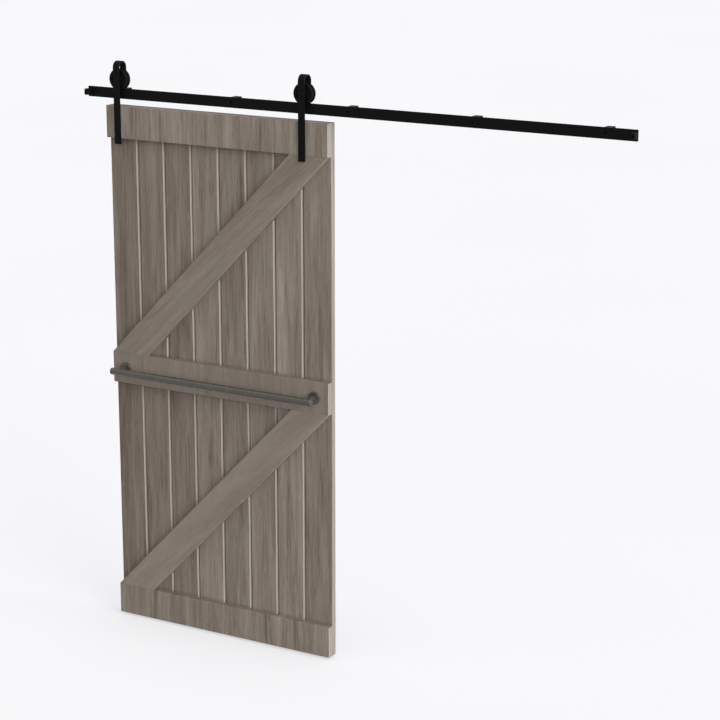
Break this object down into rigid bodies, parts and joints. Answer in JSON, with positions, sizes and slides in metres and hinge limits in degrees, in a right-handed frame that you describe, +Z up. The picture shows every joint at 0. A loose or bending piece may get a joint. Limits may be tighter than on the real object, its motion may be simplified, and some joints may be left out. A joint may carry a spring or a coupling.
{
  "type": "sliding barn door with track",
  "caption": "Sliding barn door of grooved vertical boards with rails and diagonal braces, hung by strap hangers on wheels that roll along a flat wall track, with a long pull bar.",
  "frame": {"origin": "where the axis of the middle wall bolt meets the wall, at half the track's height", "axes": "+X along the track to the right as seen from the room, +Y into the wall, +Z up"},
  "size_m": [2.343, 0.152, 2.3105],
  "materials": {
    "board_wood": "stained, matt, vertical grain",
    "frame_wood": "stained, matt",
    "black_steel": "black powder coat, satin",
    "black_fasteners": "blackened, semi-matt",
    "plated_fasteners": "zinc plated",
    "axle_steel": "turned steel",
    "bearing_bronze": "plain bearing bronze",
    "buffer_rubber": "matt black",
    "handle_metal": "satin grey bronze"
  },
  "bodies": {
    "track": {"track_bar": "black_steel", "spacer_1": "black_steel", "spacer_2": "black_steel", "spacer_3": "black_steel", "spacer_4": "black_steel", "spacer_5": "black_steel", "end_stop_left": "buffer_rubber", "end_stop_right": "buffer_rubber", "stop_bolts": "black_fasteners", "stop_nuts": "black_fasteners"},
    "door": {"board_1": "board_wood", "board_2": "board_wood", "board_3": "board_wood", "board_4": "board_wood", "board_5": "board_wood", "board_6": "board_wood", "board_7": "board_wood", "board_8": "board_wood", "rail_top": "frame_wood", "rail_middle": "frame_wood", "rail_bottom": "frame_wood", "brace_upper": "frame_wood", "brace_lower": "frame_wood", "board_screws": "plated_fasteners", "brace_screws": "plated_fasteners", "strap_left": "black_steel", "strap_right": "black_steel", "strap_bolts": "black_fasteners", "strap_washers": "black_fasteners", "strap_nuts": "black_fasteners", "axle_bolts": "black_fasteners", "axle_nuts": "black_fasteners", "axle_spacers": "axle_steel", "handle_bar": "handle_metal", "handle_end_caps": "handle_metal", "handle_post_left": "handle_metal", "handle_post_right": "handle_metal", "handle_rose_left": "handle_metal", "handle_rose_right": "handle_metal", "handle_bolts": "plated_fasteners", "handle_washers": "plated_fasteners"},
    "left_wheel": {"wheel_left": "black_steel", "bush_left": "bearing_bronze"},
    "right_wheel": {"wheel_right": "black_steel", "bush_right": "bearing_bronze"}
  },
  "joints": [
    {"name": "door_slide", "type": "slide", "parent": "track", "child": "door", "axis": [1, 0, 0], "range_m": [-0.1234, 1.3119]},
    {"name": "wheel_left_spin", "type": "hinge", "parent": "door", "child": "left_wheel", "pos_m": [-1.036, -0.053, 0.05645], "axis": [0, 1, 0], "continuous": true},
    {"name": "wheel_right_spin", "type": "hinge", "parent": "door", "child": "right_wheel", "pos_m": [-0.1875, -0.053, 0.05645], "axis": [0, 1, 0], "continuous": true}
  ],
  "couplings": [
    {"joint": "wheel_left_spin", "follows": "door_slide", "rad_per_m": 28.169},
    {"joint": "wheel_right_spin", "follows": "door_slide", "rad_per_m": 28.169}
  ]
}
